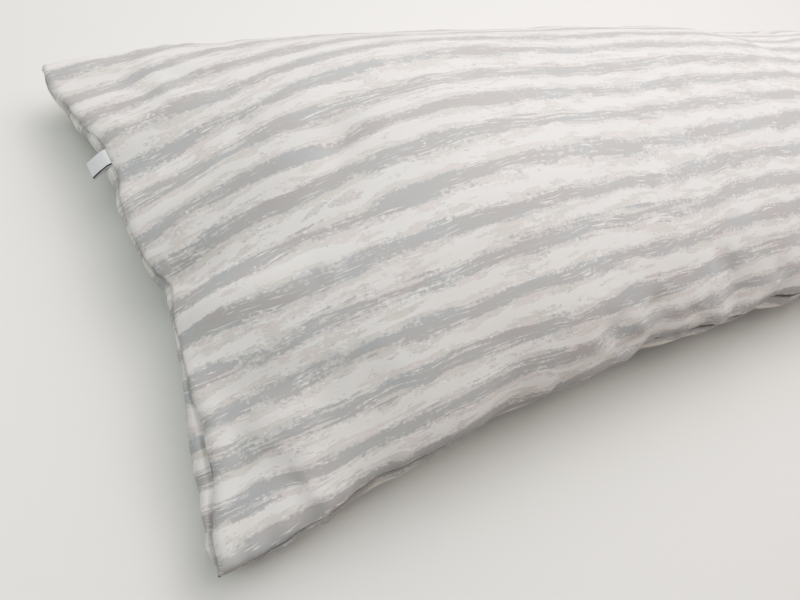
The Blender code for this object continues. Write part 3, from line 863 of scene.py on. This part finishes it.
def brushed_bands(paint, along, across):
    """The colour of the print: solid bands with dabbed edges, and some broken into thin streaks."""
    # The bands wander a little from straight
    slow, quick = (paint.noise(along, across, name) for name in ("slow wander", "quick wander"))
    wandered = paint.add(across, -FIRST_BAND, slow, quick)

    def drift(*names):
        """Sum of noises that are stretched along the bands."""
        return paint.add(*(paint.noise(along, wandered, name) for name in names))

    # How deep inside a band a point lies, in millimetres, first smooth and then broken up
    turn = paint.math("COSINE", paint.times(wandered, 2.0 * math.pi / BAND_PITCH))
    band = paint.math("ROUND", paint.times(wandered, 1.0 / BAND_PITCH))
    streaky_chance = paint.add(paint.random(paint.add(band, BAND_SEED)), drift("streakiness"))
    streaky = paint.ease(streaky_chance, *STREAKY)
    depth = paint.add(paint.times(turn, BAND_DEPTH), drift("long swells", "short swells"))
    streak_strength = paint.add(STREAK_STRENGTH, paint.times(streaky, STREAKY_EXTRA))
    streaks = paint.times(drift("streaks"), streak_strength)
    ragged = paint.add(depth, streaks, drift("long dabs", "tall dabs", "fine dabs"))
    ink = paint.ease(ragged, *INK)
    deep = paint.ease(ragged, *DEEP_INK)

    # Half tones lie beside the bands, with thin broken outlines
    halo = paint.add(depth, HALO_WIDTH, drift("long halo", "short halo", "fine halo"))
    half_tone = paint.ease(halo, *HALF_TONE)
    from_outline = paint.math("ABSOLUTE", paint.add(halo, -OUTLINE_INSET, drift("outline waver")))
    outline_runs = paint.ease(drift("outline runs"), *OUTLINE_RUNS)
    outline = paint.times(paint.ease(from_outline, *OUTLINE, 1.0, 0.0), outline_runs)

    # Thin dashes of white run inside and beside the bands
    dash_patches = paint.ease(drift("dash patches"), *DASH_PATCHES)
    dashes = paint.times(paint.ease(drift("dashes"), *DASHES), dash_patches)

    # White flecks fill the fringe of each band
    from_fringe = paint.math("ABSOLUTE", paint.add(ragged, FRINGE_OUTSIDE))
    fringe = paint.ease(from_fringe, *FRINGE, 1.0, 0.0)
    fleck_patches = paint.ease(drift("fleck patches"), *FLECK_PATCHES)
    flecks = paint.times(paint.times(fringe, paint.ease(drift("flecks"), *FLECKS)), fleck_patches)

    # Tints: greys that lean to blue or to mauve, half tones that lean to sand or to rose
    lean = drift("grey lean")
    cool = paint.mix(paint.ease(lean, *BLUE_TO_PLAIN), BLUE_GREY, PLAIN_GREY)
    grey = paint.mix(paint.ease(lean, *PLAIN_TO_MAUVE), cool, MAUVE_GREY)
    warm = paint.mix(paint.ease(drift("warm lean"), *SAND_TO_ROSE), SAND, ROSE)
    ground = paint.mix(paint.ease(drift("white lean"), *WHITE_TO_WARM), WHITE, WARM_WHITE)

    # The white ground, and on it half tones, outlines, ink and the flecks and dashes, in that order
    colour = paint.mix(half_tone, ground, warm)
    colour = paint.mix(paint.times(outline, OUTLINE_STRENGTH), colour, grey)
    pale_ink = paint.mix(PALE_INK_SHARE, grey, ground)
    colour = paint.mix(ink, colour, paint.mix(deep, pale_ink, grey))
    return paint.mix(paint.math("MAXIMUM", flecks, dashes), colour, FLECK_WHITE)


def striped_cotton():
    """Printed cotton in a plain weave, fine enough to blur away at a step's distance."""
    paint = Paint("striped_cotton")
    along, across = paint.cloth()
    weave = paint.times(paint.threads(along, WEAVE_PITCH), paint.threads(across, WEAVE_PITCH))
    slubs = paint.noise(along, across, "slubs")
    worn = paint.add(1.0, paint.times(slubs, SLUB_SHADE), paint.times(weave, WEAVE_SHADE))
    # Painted shade in the seam's groove, times the tone of the slubs and the weave
    light = paint.times(painted_seam_shade(paint, along, across), worn)
    shaded = paint.node("ShaderNodeVectorMath", {"operation": "SCALE"}, Scale=light)
    paint.feed(shaded.inputs[0], brushed_bands(paint, along, across))
    relief = paint.add(paint.times(weave, WEAVE_RELIEF), paint.times(slubs, SLUB_RELIEF))
    paint.finish(shaded.outputs[0], relief, COTTON_FINISH)
    paint.shader.inputs["Sheen Weight"].default_value = COTTON_SHEEN
    paint.shader.inputs["Sheen Roughness"].default_value = COTTON_SHEEN_ROUGHNESS
    return paint.material


def label_tape():
    """Close-woven white tape with fine ribs across it, and one bold dark line along its near edge."""
    paint = Paint("label_tape")
    along, across = paint.cloth()
    fray = paint.noise(along, across, "fray")
    wavy = paint.add(across, paint.times(fray, TAPE_LINE_WAVER))
    low, high = TAPE_LINE
    rising = paint.ease(wavy, low - TAPE_LINE_SOFTNESS, low + TAPE_LINE_SOFTNESS)
    falling = paint.ease(wavy, high - TAPE_LINE_SOFTNESS, high + TAPE_LINE_SOFTNESS, 1.0, 0.0)
    worn = paint.mix(paint.add(0.5, paint.times(fray, FRAY_SHADE)), TAPE_WHITE, TAPE_SHADE)
    colour = paint.mix(paint.times(rising, falling), worn, TAPE_DARK)
    ribs = paint.times(paint.threads(along, RIB_PITCH), RIB_RELIEF)
    threads = paint.times(paint.threads(across, THREAD_PITCH), THREAD_RELIEF)
    relief = paint.add(ribs, threads, paint.times(fray, FRAY_RELIEF))
    paint.finish(colour, relief, TAPE_FINISH)
    return paint.material


def add_object(name, mesh, material):
    """Puts a mesh in the scene."""
    mesh.materials.append(material)
    built = bpy.data.objects.new(name, mesh)
    bpy.context.scene.collection.objects.link(built)
    return built


def build_case():
    """The filled case. Returns the points of its labelled end's seam, near side first."""
    long_places = CASE_LENGTH * crowded(2 * CELLS_LONG, CROWDING_LONG)
    across_places = CASE_WIDTH * crowded(2 * CELLS_ACROSS, CROWDING_ACROSS)
    u, v = np.meshgrid(long_places, across_places, indexing="ij")
    upper, lower = centred(*panel_points(long_places, across_places))
    coarse_upper, coarse_lower = upper[::2, ::2].copy(), lower[::2, ::2].copy()
    crease(coarse_upper, coarse_lower, from_edge(u, v)[::2, ::2])
    upper += halved(coarse_upper - upper[::2, ::2])
    lower += halved(coarse_lower - lower[::2, ::2])
    finish_seam(upper, lower, u, v)
    mesh = case_mesh(upper, lower)
    map_cloth(mesh, case_corner_places(long_places, across_places))
    case = add_object("striped_case", mesh, striped_cotton())
    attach(case, "root")
    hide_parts("pillow")
    return upper[0], across_places


def seam_at(seam, across_places, v):
    """Point of the labelled end's seam at a place across the flat cloth."""
    return Vector([np.interp(v, across_places, seam[:, axis]) for axis in range(3)])


def tape_path(start, outwards):
    """Middle line of the folded label, from inside the seam to its fold, and its direction all along."""
    centre = start - outwards * TAPE_HIDDEN
    centres, aheads = [], []
    for k in range(TAPE_STEPS + 1):
        share = k / TAPE_STEPS
        bent = min(1.0, share / LABEL_BENT_BY)
        droop = math.radians((LABEL_DROOP_DEG + LABEL_CURL_DEG * share) * bent)
        ahead = outwards * math.cos(droop) - Vector((0.0, 0.0, math.sin(droop)))
        if k > 0:
            centre = centre + ahead * (LABEL_LENGTH + TAPE_HIDDEN) / TAPE_STEPS
        centres.append(centre)
        aheads.append(ahead)
    return centres, aheads


def folded_path(centres, aheads, width_way):
    """Middle line of the tape itself and its normals: out on top, round the fold, and back underneath."""
    throughs = [ahead.cross(width_way).normalized() for ahead in aheads]
    path = [c + t * FOLD_RADIUS for c, t in zip(centres, throughs)]
    normals = list(throughs)
    for k in range(1, FOLD_STEPS):
        turn = math.pi * k / FOLD_STEPS
        normal = throughs[-1] * math.cos(turn) + aheads[-1] * math.sin(turn)
        path.append(centres[-1] + normal * FOLD_RADIUS)
        normals.append(normal)
    path += [c - t * FOLD_RADIUS for c, t in zip(reversed(centres), reversed(throughs))]
    normals += [-t for t in reversed(throughs)]
    return path, normals


def tape_mesh(path, normals, width_way):
    """The tape along a path, with its thickness and its UV map."""
    places = np.linspace(-0.5, 0.5, TAPE_CELLS_ACROSS + 1) * LABEL_WIDTH
    middle = np.array([[point + width_way * place for place in places] for point in path])
    through = np.array(normals)[:, None, :] * TAPE_THICKNESS / 2.0
    points = np.concatenate([(middle + through).reshape(-1, 3), (middle - through).reshape(-1, 3)])

    rows, columns = middle.shape[:2]
    outer = np.arange(rows * columns).reshape(rows, columns)
    inner = outer + rows * columns
    rim = np.concatenate([outer[:, 0], outer[-1, 1:], outer[-2::-1, -1], outer[0, -2::-1]])
    rim_faces = grid_faces(np.stack([rim, rim + rows * columns]))
    faces = np.concatenate([grid_faces(outer), grid_faces(inner)[:, ::-1], rim_faces])

    mesh = bpy.data.meshes.new("folded_label")
    mesh.from_pydata(points.tolist(), [], faces.tolist())
    travelled = np.cumsum([0.0] + [(b - a).length for a, b in zip(path, path[1:])])
    flat = np.stack(np.meshgrid(travelled, places + LABEL_WIDTH / 2.0, indexing="ij"), axis=-1)
    map_cloth(mesh, flat.reshape(-1, 2)[faces % (rows * columns)])
    mesh.shade_smooth()
    form = bmesh.new()
    form.from_mesh(mesh)
    bmesh.ops.recalc_face_normals(form, faces=form.faces[:])
    form.to_mesh(mesh)
    form.free()
    mesh.set_sharp_from_angle(angle=math.radians(TAPE_SHARP_DEG))
    return mesh


def build_label(seam, across_places):
    """The folded label: tape that leaves the seam, bends down, turns back on itself and returns."""
    sides = [seam_at(seam, across_places, LABEL_ACROSS + side * LABEL_WIDTH / 2.0) for side in (-1, 1)]
    width_way = (sides[1] - sides[0]).normalized()
    outwards = width_way.cross(Vector((0.0, 0.0, -1.0))).normalized()
    centres, aheads = tape_path((sides[0] + sides[1]) / 2.0, outwards)
    path, normals = folded_path(centres, aheads, width_way)
    label = add_object("folded_label", tape_mesh(path, normals, width_way), label_tape())
    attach(label, "root")
    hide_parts("side_label")


def build_camera():
    """The photo's camera."""
    camera = bpy.data.objects.new("camera", bpy.data.cameras.new("camera"))
    bpy.context.scene.collection.objects.link(camera)
    camera.data.sensor_width = SENSOR_WIDTH
    camera.data.lens = FOCAL_PIXELS * SENSOR_WIDTH / PICTURE_WIDTH
    camera.data.clip_start = NEAREST_SEEN
    axes = Matrix((CAMERA_RIGHT, CAMERA_UP, CAMERA_BACK)).transposed()
    camera.matrix_world = Matrix.Translation(CAMERA_PLACE) @ axes.to_4x4()
    bpy.context.scene.camera = camera


def build_stage():
    """A plain pale floor."""
    form = bmesh.new()
    bmesh.ops.create_grid(form, x_segments=1, y_segments=1, size=FLOOR_HALF_SIZE)
    mesh = bpy.data.meshes.new("floor")
    form.to_mesh(mesh)
    form.free()
    paint = Paint("pale_floor")
    paint.shader.inputs["Base Color"].default_value = FLOOR_COLOUR
    paint.shader.inputs["Roughness"].default_value = FLOOR_ROUGHNESS
    floor = add_object("floor", mesh, paint.material)
    floor.location.z = -FLOOR_GAP


def build_lights():
    """Soft studio light from above and both ends, weak low light from the near side, and a faint surround."""
    for lamp in LAMPS:
        lit = bpy.data.lights.new(lamp.name, "AREA")
        lit.size = lamp.size
        lit.energy = lamp.watts
        lit.color = lamp.colour
        light = bpy.data.objects.new(lamp.name, lit)
        bpy.context.scene.collection.objects.link(light)
        light.location = lamp.place
        light.rotation_euler = (LIT_PLACE - Vector(lamp.place)).to_track_quat("-Z", "Y").to_euler()
    world = bpy.data.worlds.new("surround")
    world.use_nodes = True
    background = world.node_tree.nodes["Background"]
    background.inputs["Color"].default_value = SURROUND_COLOUR
    background.inputs["Strength"].default_value = SURROUND_STRENGTH
    bpy.context.scene.world = world


def build_tones():
    """The picture's tones: as they are up to the middle, and then softened towards white."""
    view = bpy.context.scene.view_settings
    view.view_transform = "Standard"
    view.use_curve_mapping = True
    tones = view.curve_mapping
    tones.white_level = (BRIGHTEST, BRIGHTEST, BRIGHTEST)
    together = tones.curves[3]
    together.points[0].location = (0.0, 0.0)
    together.points[1].location = (1.0, SOFTENED[-1][1])
    for light, shown in SOFTENED[:-1]:
        together.points.new(light / BRIGHTEST, shown)
    tones.update()


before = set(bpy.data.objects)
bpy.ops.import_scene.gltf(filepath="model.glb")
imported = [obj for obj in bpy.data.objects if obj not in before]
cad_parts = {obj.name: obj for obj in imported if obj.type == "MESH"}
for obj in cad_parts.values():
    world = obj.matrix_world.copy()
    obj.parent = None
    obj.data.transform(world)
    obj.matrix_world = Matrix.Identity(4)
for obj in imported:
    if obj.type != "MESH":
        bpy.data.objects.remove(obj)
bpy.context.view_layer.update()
build_label(*build_case())
build_stage()
build_lights()
build_tones()
build_camera()
